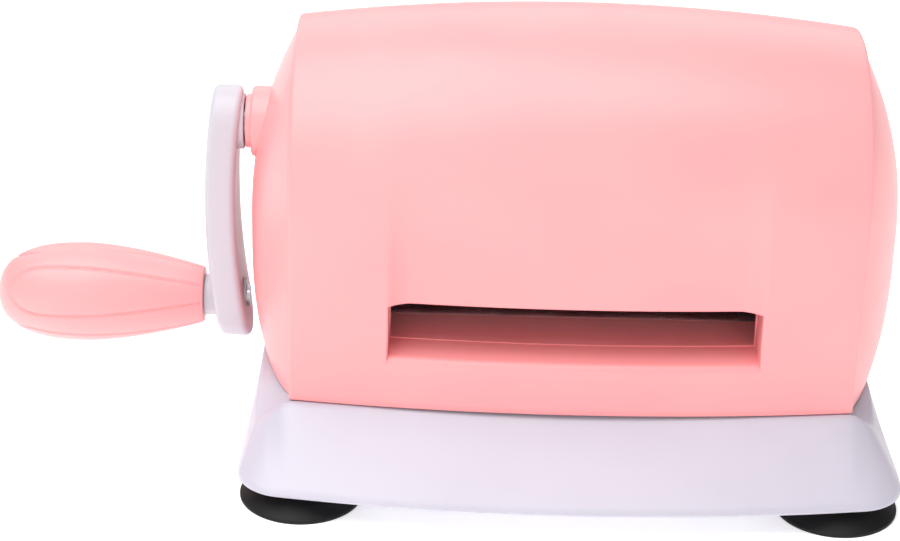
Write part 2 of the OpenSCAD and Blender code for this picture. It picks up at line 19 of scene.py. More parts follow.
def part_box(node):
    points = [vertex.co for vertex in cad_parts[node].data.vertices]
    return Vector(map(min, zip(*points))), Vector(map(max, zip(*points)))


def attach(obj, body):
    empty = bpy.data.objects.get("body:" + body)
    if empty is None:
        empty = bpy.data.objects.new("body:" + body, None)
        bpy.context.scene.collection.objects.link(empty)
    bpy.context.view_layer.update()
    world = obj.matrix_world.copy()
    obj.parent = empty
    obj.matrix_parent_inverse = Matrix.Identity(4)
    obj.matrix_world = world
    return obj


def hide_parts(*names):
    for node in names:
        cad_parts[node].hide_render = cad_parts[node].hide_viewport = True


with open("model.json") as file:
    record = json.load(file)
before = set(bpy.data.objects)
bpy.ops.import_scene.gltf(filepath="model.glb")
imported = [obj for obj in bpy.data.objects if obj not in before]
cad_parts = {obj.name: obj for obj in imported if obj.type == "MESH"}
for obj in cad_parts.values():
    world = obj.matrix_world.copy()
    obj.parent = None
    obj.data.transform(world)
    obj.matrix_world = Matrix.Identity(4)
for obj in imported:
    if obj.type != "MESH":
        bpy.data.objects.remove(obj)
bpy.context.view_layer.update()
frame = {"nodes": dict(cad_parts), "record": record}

# %% [markdown]
# ## The camera
# The camera stands a good half metre in front of the machine and looks down on it by about 26
# degrees, so its top shows and the slot is seen into. A long lens keeps the sides nearly parallel,
# and a small roll about the line of sight tilts the picture by a degree and a half.

# %% Camera
mm = 0.001
camera_place = Vector((1.1, -534.8, 293.6)) * mm
camera_turn = math.radians(0.07)
camera_drop = math.radians(25.66)
camera_roll = math.radians(1.45)

camera_data = bpy.data.cameras.new("studio_camera")
camera_data.sensor_fit = "HORIZONTAL"
camera_data.sensor_width = 36
camera_data.lens = 101.84
camera_data.clip_start = 0.05
camera_data.clip_end = 20
camera = bpy.data.objects.new("studio_camera", camera_data)
bpy.context.scene.collection.objects.link(camera)

ahead = Vector((math.sin(camera_turn) * math.cos(camera_drop),
                math.cos(camera_turn) * math.cos(camera_drop), -math.sin(camera_drop)))
level = Vector((math.cos(camera_turn), -math.sin(camera_turn), 0))
above = level.cross(ahead)
right = level * math.cos(camera_roll) + above * math.sin(camera_roll)
up = above * math.cos(camera_roll) - level * math.sin(camera_roll)
facing = Matrix((right, up, -ahead)).transposed().to_4x4()
camera.matrix_world = Matrix.Translation(camera_place) @ facing
bpy.context.scene.camera = camera
print("camera at", [round(v, 3) for v in camera.location], "lens", camera_data.lens)

# %% [markdown]
# ## Sizes from the frame
# Every builder below works in millimetres about the middle of the housing, as a drawing would, and
# one function moves the points into the frame. The driving sizes are read from the boxes of the
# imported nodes, so the fine shapes sit exactly where the machine's parts are. The front and the
# rear bulge by the swell between the two ends, and bow_r is the radius of that bulge.

# %% Sizes
housing_low, housing_high = (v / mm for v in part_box("housing_shell"))
_, cover_high = (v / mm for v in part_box("right_side_cover"))
base_low, base_high = (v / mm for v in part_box("base_shell"))
foot_low, foot_high = (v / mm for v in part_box("front_right_foot"))
arm_low, arm_high = (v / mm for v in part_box("crank_arm"))
grip_low, grip_high = (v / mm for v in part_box("grip"))
shaft_low, shaft_high = (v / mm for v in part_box("crank_shaft"))

middle_x = (housing_low.x + housing_high.x) / 2
house_x = (housing_high.x - housing_low.x) / 2
face_y = housing_high.y
deck_z = base_high.z
top_z = housing_high.z
swell = 4.2
arch_r = face_y - swell
arch_z = top_z - face_y
bow_r = (house_x ** 2 + swell ** 2) / (2 * swell)
shell_wall = 2.0
slot_x, slot_low, slot_high = 41.0, 32.6, 45.0
tunnel_y = 25.6
crank_z = (shaft_low.z + shaft_high.z) / 2
grip_z = (grip_low.z + grip_high.z) / 2
print(f"housing {2 * house_x:.1f} x {2 * face_y:.1f}, top {top_z:.1f}")
print(f"crank axis at {crank_z:.1f}, grip axis at {grip_z:.1f}")

# %% [markdown]
# ## Making a mesh piece
# Each moulded part could be sculpted, or built from stacked modifiers. Here every piece is a list
# of points and faces worked out from a few sizes, so a changed size changes the shape cleanly. One
# function turns it into an object in the frame, lets it ride on its body and hides the packed
# nodes it stands for. Smooth shading is split at sharp edges, so that a rim stays crisp next to a
# soft curve.

# %% Mesh helpers
def clean_mesh(name, points, faces, weld, sliver=0):
    """A mesh from points in millimetres about the middle of the housing, welded at weld mm."""
    mesh = bpy.data.meshes.new(name)
    mesh.from_pydata([((x + middle_x) * mm, y * mm, z * mm) for x, y, z in points], [], faces)
    work = bmesh.new()
    work.from_mesh(mesh)
    bmesh.ops.remove_doubles(work, verts=work.verts, dist=weld * mm)
    if sliver:
        bmesh.ops.dissolve_degenerate(work, edges=work.edges, dist=sliver * mm)
    bmesh.ops.recalc_face_normals(work, faces=work.faces)
    work.to_mesh(mesh)
    work.free()
    return mesh


def make_piece(name, points, faces, body, slot, material, stands_for, crease=38):
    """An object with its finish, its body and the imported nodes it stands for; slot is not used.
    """
    mesh = clean_mesh(name, points, faces, weld=0.002, sliver=0.001)
    mesh.shade_smooth()
    mesh.set_sharp_from_angle(angle=math.radians(crease))
    mesh.materials.append(material)
    piece = bpy.data.objects.new(name, mesh)
    bpy.context.scene.collection.objects.link(piece)
    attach(piece, body)
    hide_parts(*stands_for)
    print(f"{name}: {len(mesh.polygons)} faces")
    return piece


def ring_faces(rings, around):
    """Quads between closed rings of points that are stored one ring after another."""
    return [(r * around + c, r * around + (c + 1) % around,
             (r + 1) * around + (c + 1) % around, (r + 1) * around + c)
            for r in range(rings - 1) for c in range(around)]


def face_out(piece, probe, direction):
    """Turns all faces over if the face nearest to the probe looks the wrong way."""
    mesh = piece.data
    target = Vector(((probe[0] + middle_x) * mm, probe[1] * mm, probe[2] * mm))
    nearest = min(mesh.polygons, key=lambda face: (face.center - target).length)
    if nearest.normal.dot(Vector(direction)) < 0:
        mesh.flip_normals()


def apply_modifiers(piece, crease):
    """Turns the modified shape into the piece's own mesh, with sharp edges found anew."""
    evaluated = piece.evaluated_get(bpy.context.evaluated_depsgraph_get())
    done = bpy.data.meshes.new_from_object(evaluated)
    piece.modifiers.clear()
    piece.data = done
    done.shade_smooth()
    done.set_sharp_from_angle(angle=math.radians(crease))


def give_wall(piece, thickness):
    """A shell modelled as a skin gets its wall on the inside, with a rim round each edge."""
    wall = piece.modifiers.new("wall", "SOLIDIFY")
    wall.thickness = thickness * mm
    wall.offset = -1
    wall.use_quality_normals = True
    apply_modifiers(piece, crease=45)


def spaced(start, stop, step):
    """Evenly spaced values from start to stop, both kept."""
    count = max(1, round(abs(stop - start) / step))
    return [start + (stop - start) * i / count for i in range(count + 1)]


# %% [markdown]
# ## Colour and node helpers
# Colours are picked as sRGB hex, as on a swatch, and one function turns them to the linear values
# that the shader works in. Another adds a node: its inputs are either a value or a socket to link
# from, and its settings are the node's own properties.

# %% Node helpers
def linear(swatch):
    """sRGB hex to linear RGBA."""
    parts = [int(swatch[i:i + 2], 16) / 255 for i in (0, 2, 4)]
    return (*[c / 12.92 if c <= 0.04045 else ((c + 0.055) / 1.055) ** 2.4 for c in parts], 1)


def add_node(tree, kind, inputs=None, settings=None):
    """One node with its settings and links."""
    made = tree.nodes.new(kind)
    for name, value in (settings or {}).items():
        setattr(made, name, value)
    for name, value in (inputs or {}).items():
        if isinstance(value, bpy.types.NodeSocket):
            tree.links.new(value, made.inputs[name])
        else:
            made.inputs[name].default_value = value
    return made


def new_material(name):
    """An empty node material: its tree, its place coordinates in metres, and its output."""
    material = bpy.data.materials.new(name)
    material.use_nodes = True
    tree = material.node_tree
    tree.nodes.clear()
    place = add_node(tree, "ShaderNodeTexCoord").outputs["Object"]
    output = add_node(tree, "ShaderNodeOutputMaterial")
    return material, tree, place, output


# %% [markdown]
# A real finish is never one flat value. These helpers add what each finish below is made of: noise
# of a real size in millimetres, a blend of two swatches, a spread of roughness, and a bump. All of
# it is worked out from the place on the part, so no mesh needs its surface unrolled.

# %% Finish helpers
def noise(tree, place, size, detail, **more):
    """Noise with features about size millimetres across."""
    inputs = {"Vector": place, "Scale": 1 / (size * mm), "Detail": detail, **more}
    return add_node(tree, "ShaderNodeTexNoise", inputs).outputs["Fac"]


def blend(tree, factor, first, second):
    """A colour between two swatches. Sockets 6, 7 and 2 of the node are its colour ones."""
    mix = add_node(tree, "ShaderNodeMix", {"Factor": factor}, {"data_type": "RGBA"})
    mix.inputs[6].default_value = linear(first)
    mix.inputs[7].default_value = linear(second)
    return mix.outputs[2]


def spread(tree, value, low, high, noise_low=0.3, noise_high=0.7):
    """Turns noise between noise_low and noise_high into a value between low and high."""
    return add_node(tree, "ShaderNodeMapRange",
                    {"Value": value, "From Min": noise_low, "From Max": noise_high,
                     "To Min": low, "To Max": high}).outputs["Result"]


def bump(tree, height, strength, depth, **more):
    """A bump whose full height is depth millimetres."""
    inputs = {"Height": height, "Strength": strength, "Distance": depth * mm, **more}
    return add_node(tree, "ShaderNodeBump", inputs).outputs["Normal"]


def surface(tree, output, inputs):
    """The shader itself, joined to the material's output."""
    shader = add_node(tree, "ShaderNodeBsdfPrincipled", inputs)
    tree.links.new(shader.outputs["BSDF"], output.inputs["Surface"])


# %% [markdown]
# ## Moulded ABS
# The housing, the base, the arm and the grip are injection-moulded ABS, coloured through. A
# polished mould leaves a soft gloss: broad highlights that fade gently. Close up the skin is not
# perfect. The pigment drifts a little over a few centimetres, the gloss varies where the melt
# cooled at different speed, and the surface has a faint orange-peel wave about 1.4 mm long with a
# fine grain on top. The grain of a real mould is near 0.1 mm; it is drawn at 0.3 mm to show. The
# arm has a mix of its own, a touch lighter, greyer and less glossy than the base's.

# %% Moulded ABS
def moulded_abs(name, main, deep, gloss):
    """Through-coloured ABS from a polished mould; gloss is the roughness at its shiniest."""
    material, tree, place, output = new_material(name)
    drift = noise(tree, place, 28, 2.0, Roughness=0.4)
    pigment = blend(tree, spread(tree, drift, 0, 1), main, deep)
    cooling = noise(tree, place, 9, 3.0, Roughness=0.55)
    shine = spread(tree, cooling, gloss, gloss + 0.06)
    wave = bump(tree, noise(tree, place, 1.4, 1.0), 0.10, 0.05)
    skin = bump(tree, noise(tree, place, 0.3, 2.0), 0.12, 0.02, Normal=wave)
    surface(tree, output, {"Base Color": pigment, "Roughness": shine, "IOR": 1.54, "Normal": skin})
    return material


pink_abs = moulded_abs("pink_moulded_abs", "ffa5a6", "fda0a2", 0.34)
lavender_abs = moulded_abs("lavender_moulded_abs", "c6c2cf", "c3bfcc", 0.34)
arm_abs = moulded_abs("lavender_arm_abs", "c8c4cd", "c5c1ca", 0.36)
print("made", pink_abs.name, lavender_abs.name, arm_abs.name)

# %% [markdown]
# ## Black rubber
# The suction feet are soft black rubber from a smooth mould: dark, with a dull satin sheen and a
# trace of grey bloom. Real bloom is dull as well as grey, so one noise drives both the tint and
# the roughness, and fine pores are added as a bump.

# %% Black rubber
foot_rubber, tree, place, output = new_material("black_moulded_rubber")
bloom = noise(tree, place, 5, 5.0, Roughness=0.6)
tint = blend(tree, bloom, "060607", "0d0d0f")
dull = spread(tree, bloom, 0.5, 0.68, noise_low=0, noise_high=1)
skin = bump(tree, noise(tree, place, 0.4, 3.0), 0.2, 0.03)
surface(tree, output, {"Base Color": tint, "Roughness": dull, "IOR": 1.4, "Normal": skin})
print("made", foot_rubber.name)

# %% [markdown]
# ## Steel
# The frames are zinc-plated sheet steel, which is bluish and faintly spangled. Rollers, shaft and
# pin are ground and turned bar, whose fine rings run round the X axis and draw the highlight out.
# An anisotropic shader could do that too, but it needs a direction on every mesh. Noise that is
# stretched across the axis gives the rings on any mesh, so one function makes all the steels.

# %% Metals
def worked_steel(name, light, dark, stretch, pitch, smooth, rough):
    """Steel with tool marks: noise stretched by three factors, with the pitch in millimetres."""
    material, tree, place, output = new_material(name)
    stretched = add_node(tree, "ShaderNodeMapping", {"Vector": place, "Scale": stretch})
    marks = noise(tree, stretched.outputs["Vector"], pitch, 4.0)
    tone = blend(tree, marks, dark, light)
    polish = spread(tree, noise(tree, place, 12, 3.0), smooth, rough)
    scratch = bump(tree, marks, 0.25, 0.02)
    surface(tree, output, {"Base Color": tone, "Metallic": 1.0, "Roughness": polish,
                           "Normal": scratch})
    return material


ring_marks = (1, 0.05, 0.05)
even_marks = (1, 1, 1)
ground_steel = worked_steel("ground_steel", "c9cacc", "a9abae", ring_marks, 0.35, 0.2, 0.32)
turned_steel = worked_steel("turned_steel", "bcbdc0", "96989c", ring_marks, 0.5, 0.28, 0.42)
zinc_sheet = worked_steel("zinc_plated_sheet", "bfc4c9", "a3a9b0", even_marks, 1.6, 0.32, 0.48)
zinc_screw = worked_steel("zinc_plated_screw", "c6c9cc", "a5a9ae", even_marks, 0.6, 0.25, 0.4)
sintered_steel = worked_steel("sintered_steel", "8e8f91", "6f7073", even_marks, 0.4, 0.4, 0.55)
print("made", ground_steel.name, turned_steel.name, zinc_sheet.name, zinc_screw.name)
print("made", sintered_steel.name)

# %% [markdown]
# ## Natural nylon
# Gears and bushes are natural nylon, milky and matte, with a waxy gloss where tools have run. Light
# goes a millimetre or two into it. A plain pale plastic would look like chalk, so a little
# scattering below the surface is added.

# %% Natural nylon
natural_nylon, tree, place, output = new_material("natural_nylon")
haze = noise(tree, place, 4, 3.0, Roughness=0.5)
milk = blend(tree, haze, "efece0", "e3dfd0")
wax = spread(tree, haze, 0.38, 0.55, noise_low=0, noise_high=1)
skin = bump(tree, noise(tree, place, 0.5, 2.0), 0.15, 0.02)
surface(tree, output, {"Base Color": milk, "Roughness": wax, "IOR": 1.53, "Normal": skin,
                       "Subsurface Weight": 0.15, "Subsurface Scale": 1.5 * mm})
print("made", natural_nylon.name)

# %% [markdown]
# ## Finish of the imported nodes
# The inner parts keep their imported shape. Each one takes the finish of its material slot in the
# record, so a new part in the same slot would be finished in the same way.

# %% Dress the nodes
finish_of_slot = {
    "pink_shell": pink_abs, "lavender_shell": lavender_abs, "foot_rubber": foot_rubber,
    "frame_steel": zinc_sheet, "roller_steel": ground_steel, "rod_steel": turned_steel,
    "fastener_steel": zinc_screw, "bush_nylon": natural_nylon, "gear_nylon": natural_nylon,
    "pinion_steel": sintered_steel,
}
for part in frame["record"]["subparts"]:
    node_object = frame["nodes"][part["node"]]
    for place_in_list in node_object.material_slots:
        place_in_list.material = finish_of_slot[part["material_slot"]]

# %% [markdown]
# ## The housing
# The housing is one moulding: two upright walls that run over into a round arch. Its front and
# rear bulge a little towards the middle, its open ends are rounded over to a narrow rim, and a
# shallow scoop leads down to the slot on both sides. A grid suits it: one direction runs along the
# rollers, the other goes up the front, over the arch and down the rear. The scoop and the rounded
# ends are only a depth below the outer skin, so they are written as one function of the place.
# The lip sizes say how far the edge of the slot is rolled, and the seam is a fine parting line a
# little way down the tunnel behind it.

# %% Skin of the housing
end_round = 0.7
scoop_top, scoop_depth, scoop_flare = 77.0, 2.6, 5.5
lip_side, lip_low, lip_high = 0.6, 2.2, 0.5
slot_mid = (slot_low + slot_high) / 2
seam_depth, seam_step, seam_length = 10.2, 0.2, 0.04


def house_radius(x):
    """Distance of the outer skin from the middle plane, and the arch's radius, at x."""
    return arch_r + swell - (bow_r - math.sqrt(bow_r ** 2 - x ** 2))


def scoop(x, z):
    """Depth of the scooped panel: nothing at its top and sides, full at the slot's upper lip."""
    down = min(1, max(0, (scoop_top - z) / (scoop_top - slot_high)))
    inward = min(1, max(0, (slot_x - abs(x)) / scoop_flare))
    return 0 if z < slot_high else scoop_depth * down * (1 - (1 - inward) ** 2)


def skin_point(column, row):
    """A point of the skin: column is (x, inset), row is (side, height, angle, inset)."""
    x, end_inset = column
    side, z, angle, foot_inset = row
    radius = house_radius(x) - end_inset - foot_inset
    height = arch_z + radius * math.sin(angle) if angle is not None else z
    radius -= scoop(x, height)
    if angle is None:
        return (x, side * radius, z)
    return (x, -radius * math.cos(angle), arch_z + radius * math.sin(angle))


# %% [markdown]
# Columns stand closer together where the form changes quickly: round the ends and beside the
# slot. Rows do the same round the slot and at the lower edge, where the wall turns in a little
# above the base and leaves a fine seam. No line runs between the edge of the slot and its lip, as
# the roll would fold it over.

# %% Columns and rows
coarse, fine = 2.5, 0.4
lip_x = slot_x + lip_side
scoop_start, scoop_end, side_end, panel_x = slot_x + 1.2, slot_x - 4.6, 42.6, 35
beside_slot = [x for x in spaced(-scoop_start, -scoop_end, fine)
               if not slot_x - 0.1 < -x < lip_x + 0.15]
left_lines = spaced(-(house_x - end_round), -side_end, coarse) + beside_slot + [-lip_x]
all_lines = left_lines + [-x for x in left_lines] + spaced(-panel_x, panel_x, coarse)
middle_columns = [(x, 0) for x in sorted(set(all_lines))]
round_end = [(house_x - end_round + end_round * math.sin(math.radians(a)),
              end_round * (1 - math.cos(math.radians(a)))) for a in range(10, 91, 10)]
rim = end_round + 0.3
columns = [(-house_x, rim)] + [(-x, inset) for x, inset in reversed(round_end)]
columns += middle_columns + round_end + [(house_x, rim)]

foot_rows = [(deck_z + 0.12, 0.5), (deck_z + 0.3, 0.15), (deck_z + 0.6, 0)]
slot_rows = [slot_low - lip_low, 35, 38, 41, 43.6, slot_high + lip_high, 46.1, 47, 48.4]
plain_rows = spaced(22, 29.4, 2.4) + slot_rows + spaced(50.2, arch_z - 2, 2.2)
wall_rows = foot_rows + [(z, 0) for z in plain_rows]
rows = [(-1, z, None, inset) for z, inset in wall_rows]
rows += [(0, 0, math.radians(a), 0) for a in spaced(0, 180, coarse)]
rows += [(1, z, None, inset) for z, inset in reversed(wall_rows)]
print("housing grid:", len(columns), "columns by", len(rows), "rows")

# %% [markdown]
# The slot goes right through, so the skin has a hole at the front and one at the rear. A boolean
# would leave a ragged edge in the grid. The holes are simply quads that are left out, between a
# column at each side and a row above and below.

# %% Leave out the slots
housing_points = [skin_point(column, row) for row in rows for column in columns]
housing_faces = []
inside_column = [abs((a[0] + b[0]) / 2) < lip_x for a, b in zip(columns, columns[1:])]
inside_row = [(a[2] is None and b[2] is None and a[0] == b[0]
               and slot_low - lip_low < (a[1] + b[1]) / 2 < slot_high + lip_high)
              for a, b in zip(rows, rows[1:])]
for r in range(len(rows) - 1):
    for c in range(len(columns) - 1):
        if not (inside_row[r] and inside_column[c]):
            a = r * len(columns) + c
            housing_faces.append((a, a + 1, a + len(columns) + 1, a + len(columns)))
print("skin:", len(housing_points), "points and", len(housing_faces), "quads")

# %% [markdown]
# The edge of each hole is rolled inwards, softly at the lower lip where the plates slide in and
# tightly at the others, and then it runs on as a tunnel to the feed platform. Each ring of the roll
# is a step of a quarter turn between the outer edge and the tunnel. The last three rings step
# inwards at the parting line and carry on to the tunnel's end.

# %% Roll the edges of the slots
def hole_loop(side):
    """Grid places of the hole's edge on one side, in order round it."""
    held = [i for i, inside in enumerate(inside_column) if inside]
    first_c, last_c = held[0], held[-1] + 1
    held = [i for i, inside in enumerate(inside_row) if inside and rows[i][0] == side]
    first_r, last_r = held[0], held[-1] + 1
    loop = [(first_r, c) for c in range(first_c, last_c)]
    loop += [(r, last_c) for r in range(first_r, last_r)]
    loop += [(last_r, c) for c in range(last_c, first_c, -1)]
    return loop + [(r, first_c) for r in range(last_r, first_r, -1)]


for side in (-1, 1):
    loop = hole_loop(side)
    edge = [housing_points[r * len(columns) + c] for r, c in loop]
    inner = [(min(slot_x, max(-slot_x, x)), min(slot_high, max(slot_low, z))) for x, _, z in edge]
    roll = [max(abs(x - ix), abs(z - iz)) for (x, _, z), (ix, iz) in zip(edge, inner)]
    rings = []
    for turn in spaced(0, 90, 15)[1:]:
        s, k = math.sin(math.radians(turn)), 1 - math.cos(math.radians(turn))
        rings.append([(x + (ix - x) * s, y - side * depth * k, z + (iz - z) * s)
                      for (x, y, z), (ix, iz), depth in zip(edge, inner, roll)])
    mouth = rings[-1]
    seam = [(x, side * (house_radius(x) - seam_depth), z) for x, y, z in mouth]
    rings += [[tuple(Vector(a).lerp(Vector(b), 0.5)) for a, b in zip(mouth, seam)], seam]
    for past, share in ((seam_length, 0), (0, 0.5), (0, 1)):
        rings.append([(x - math.copysign(seam_step, x),
                       (y - side * past) + (side * tunnel_y - y) * share,
                       z + (seam_step if z < slot_mid else -seam_step)) for x, y, z in seam])
    start = len(housing_points)
    previous = [r * len(columns) + c for r, c in loop]
    for ring in rings:
        here = list(range(len(housing_points), len(housing_points) + len(ring)))
        housing_points += ring
        for i in range(len(here)):
            j = (i + 1) % len(here)
            housing_faces.append((previous[i], previous[j], here[j], here[i]))
        previous = here
    print("slot roll on side", side, "rings", len(rings), "points", len(housing_points) - start)

housing = make_piece("housing", housing_points, housing_faces, "machine", "pink_shell", pink_abs,
                     ("housing_shell",), crease=50)
face_out(housing, (0, 0, top_z), (0, 0, 1))
give_wall(housing, shell_wall)

# %% [markdown]
# ## The side covers
# Each end is closed by a domed cover that drops into the housing's rim. Its outline is the arch
# set in by the rim, and the dome is a pillow: highest just below the middle and falling to
# nothing at the sides and the top, while at the deck it still stands out. A slice of a ball would
# not fit this outline, so the dome is drawn as rays from its middle to the outline, and its height
# is a function of the place. The right cover is a touch fuller than the left one.

# %% Cover shapes
cover_inset, cover_wall = 2.55, 1.6
cover_half = arch_r - cover_inset
dome_out = cover_high.x - middle_x - house_x
dome_z = 51.0
cover_foot = deck_z + 0.1
dome_reach = arch_z + cover_half - dome_z
power_above, power_below, power_across = 2.3, 3.3, 2.3


def cover_outline():
    """Outline of the cover in y and z, from the lower left corner round the arch and back."""
    points = [(-cover_half, z) for z in spaced(cover_foot, arch_z, 2.0)[:-1]]
    points += [(-cover_half * math.cos(a), arch_z + cover_half * math.sin(a))
               for a in map(math.radians, spaced(0, 180, 2.5))]
    points += [(cover_half, z) for z in reversed(spaced(cover_foot, arch_z, 2.0)[:-1])]
    return points + [(y, cover_foot) for y in spaced(cover_half, -cover_half, 2.0)[1:-1]]


def dome_height(y, z):
    """How far the pillow stands out from the housing's end at y and z."""
    power = power_above if z > dome_z else power_below
    rise = max(0, 1 - (abs(z - dome_z) / dome_reach) ** power)
    half = cover_half if z < arch_z else math.sqrt(max(1e-6, cover_half ** 2 - (z - arch_z) ** 2))
    return dome_out * rise * max(0, 1 - abs(y / half) ** power_across)


def side_cover(name, side, node, fullness):
    """A domed cover: rings from the middle to the outline, then the turned edge and the tuck."""
    outline = cover_outline()
    edge_turn, tuck = 0.35, 5.0
    edge_rings = ((edge_turn, 0.0), (0.1, edge_turn * 0.4), (0.0, edge_turn + 0.1), (0.0, tuck))
    points = []
    shares = spaced(0.04, 0.92, 0.055) + [0.955, 0.98]
    for share in shares:
        for y, z in outline:
            py, pz = y * share, dome_z + (z - dome_z) * share
            points.append((side * (house_x + fullness * dome_height(py, pz)), py, pz))
    for inward, back in edge_rings:
        for y, z in outline:
            length = math.hypot(y, max(0, z - arch_z)) or 1
            ny, nz = y / length, max(0, z - arch_z) / length
            on_edge = z > cover_foot + 0.01 or abs(y) > cover_half - 0.01
            py = y - inward * ny if on_edge else y
            pz = z - inward * nz
            stand = fullness * dome_height(py, pz) if back < tuck else 0
            points.append((side * (house_x + stand - back), py, pz))
    faces = ring_faces(len(shares) + len(edge_rings), len(outline))
    points.append((side * (house_x + fullness * dome_height(0, dome_z)), 0, dome_z))
    faces += [(i, (i + 1) % len(outline), len(points) - 1) for i in range(len(outline))]
    piece = make_piece(name, points, faces, "machine", "pink_shell", pink_abs, (node,), crease=50)
    face_out(piece, (side * (house_x + dome_out), 0, dome_z), (side, 0, 0))
    give_wall(piece, cover_wall)
    return piece


left_cover = side_cover("left_cover", -1, "left_side_cover", 1.0)
right_cover = side_cover("right_cover", 1, "right_side_cover", 1.04)

# %% [markdown]
# ## Turned forms
# The boss, the feet, the hub and the neck are all round. A screw modifier could turn them, but a
# function that spins a profile keeps their sizes in sight. The profile is a list of (along, radius)
# pairs, spun about a line along X or along Z, and a second function rounds its corners.

# %% Spin a profile
def spun(profile, centre, axis, segments=72):
    """Points and faces of a profile turned about a line along X or Z through the centre."""
    points = []
    for along, radius in profile:
        for k in range(segments):
            turn = 2 * math.pi * k / segments
            a, b = radius * math.cos(turn), radius * math.sin(turn)
            points.append((centre[0] + along, centre[1] + a, centre[2] + b) if axis == "x"
                          else (centre[0] + a, centre[1] + b, centre[2] + along))
    return points, ring_faces(len(profile), segments)


def softened(corners, steps=5):
    """A profile through the corners, each given as (along, radius, rounding)."""
    profile = [corners[0][:2]]
    for before, corner, after in zip(corners, corners[1:], corners[2:]):
        middle, size = Vector(corner[:2]), corner[2]
        if size == 0:
            profile.append(corner[:2])
            continue
        start = middle + (Vector(before[:2]) - middle).normalized() * size
        end = middle + (Vector(after[:2]) - middle).normalized() * size
        for i in range(steps + 1):
            t = i / steps
            profile.append(tuple(start * (1 - t) ** 2 + middle * 2 * t * (1 - t) + end * t ** 2))
    return profile + [corners[-1][:2]]


# %% [markdown]
# The left cover has a round boss in which the crank turns, with a smaller collar where the arm's
# hub runs up to it. It is part of the same moulding, and is spun as a form of its own whose root
# lies inside the dome, which saves a join on a curved face.

# %% Boss on the left cover
boss_radius, boss_bore = 8.0, 5.0
boss_face = -(house_x + dome_out - 0.1)
collar_radius, collar_length = 6.1, 1.3
boss_profile = softened([
    (6, boss_bore, 0), (-collar_length, boss_bore, 0.2), (-collar_length, collar_radius, 0.4),
    (0, collar_radius, 0.2), (0, boss_radius, 0.9), (5, boss_radius, 0), (6, boss_radius + 0.5, 0)])
boss_points, boss_faces = spun(boss_profile, (boss_face, 0, crank_z), "x")
boss = make_piece("cover_boss", boss_points, boss_faces, "machine", "pink_shell", pink_abs,
                  ("left_side_cover",))
face_out(boss, (boss_face, 0, crank_z + 7), (-1, 0, 0))

# %% [markdown]
# ## The base
# The plinth is one lavender moulding: a low rim that follows the table, then a slope up to a deck
# that the housing stands on. Its corners are round, its front and rear bulge, and its sides are
# drawn in a little between the flared corners. Two outlines, one at the rim and one at the deck,
# are sampled with the same number of points, and the skin between them is a loft, with a soft bend
# where the slope meets the deck. Beside each corner of the housing the deck falls away outwards.
# A bevelled box would be quicker, but it can't bulge and narrow at once.

# %% Outlines of the base
base_x = base_high.x - middle_x
base_y = base_high.y
base_z = base_low.z
rim_height = 1.3
rim_corner, rim_bow, deck_corner, deck_bow = 11, 416, 3, 1400
deck_x, deck_y = base_x - 4.0, 37.0
deck_gap, bend, base_wall = 0.7, 0.8, 2.2
deck_fall, fall_start, fall_end = 5.6, 20.0, 33.0
waist_left, waist_right, waist_start, waist_end, waist_x = 1.7, 2.3, 16.0, 36.0, 60
deck_left, deck_right = deck_x + 0.6, deck_x - 1.4
opening_x, opening_y, deck_edge_y = 58, 15.8, 35.3


def plinth_outline(half_x, half_y, corner, bow, inset):
    """Rounded outline with bowed front and rear, counter-clockwise from the right-hand side."""
    side_steps, corner_steps, bow_steps = 9, 13, 40
    centre_y = bow - half_y
    corner_x = half_x - corner
    corner_y = math.sqrt((bow - corner) ** 2 - corner_x ** 2) - centre_y
    tilt = math.degrees(math.asin(corner_x / (bow - corner)))
    corner_r, bow_round = corner - inset, bow - inset
    turn = [math.radians(a) for a in np.linspace(0, 90 - tilt, corner_steps)]
    quarter = [(half_x - inset, y) for y in np.linspace(0, corner_y, side_steps)[:-1]]
    quarter += [(corner_x + corner_r * math.cos(a), corner_y + corner_r * math.sin(a))
                for a in turn]
    sweep = [math.radians(a) for a in np.linspace(90 - tilt, 90, bow_steps)[1:]]
    quarter += [(bow_round * math.cos(a), bow_round * math.sin(a) - centre_y) for a in sweep]
    half = quarter + [(-x, y) for x, y in reversed(quarter[:-1])]
    return half + [(x, -y) for x, y in reversed(half[1:-1])]


def rim_outline(inset=0):
    """Outline at the table: the sides are drawn in a little between the flared corners."""
    points = []
    for x, y in plinth_outline(base_x, base_y, rim_corner, rim_bow, inset):
        reach = min(1, max(0, (abs(y) - waist_start) / (waist_end - waist_start)))
        narrow = (waist_left if x < 0 else waist_right) * (1 - reach * reach * (3 - 2 * reach))
        points.append((x - math.copysign(narrow * min(1, abs(x) / waist_x) ** 4, x), y))
    return points


def deck_outline(inset=0):
    """Outline of the deck, which ends just in front of the housing."""
    points = []
    for x, y in plinth_outline(deck_x, deck_y, deck_corner, deck_bow, inset):
        near = house_radius(min(abs(x), house_x)) + deck_gap - inset
        wide = (deck_left if x < 0 else deck_right) / deck_x
        points.append((x * wide, math.copysign(min(abs(y), near), y)))
    return points


def deck_height(x, y):
    """The deck is level, but beside each corner of the housing it falls away outwards."""
    outward = min(1, max(0, (abs(x) - house_x - 0.3) / (deck_x - house_x - 0.3)))
    forward = min(1, max(0, (abs(y) - fall_start) / (fall_end - fall_start)))
    return deck_z - deck_fall * outward ** 1.2 * forward * forward * (3 - 2 * forward)


# %% [markdown]
# The skin is built up row by row: the rounded foot of the rim, its upright edge, the slope, the
# soft bend, and the level deck under the housing as far as the opening above the lower roller. The
# bend is a curve with three control points, so that it meets the slope and the deck smoothly.

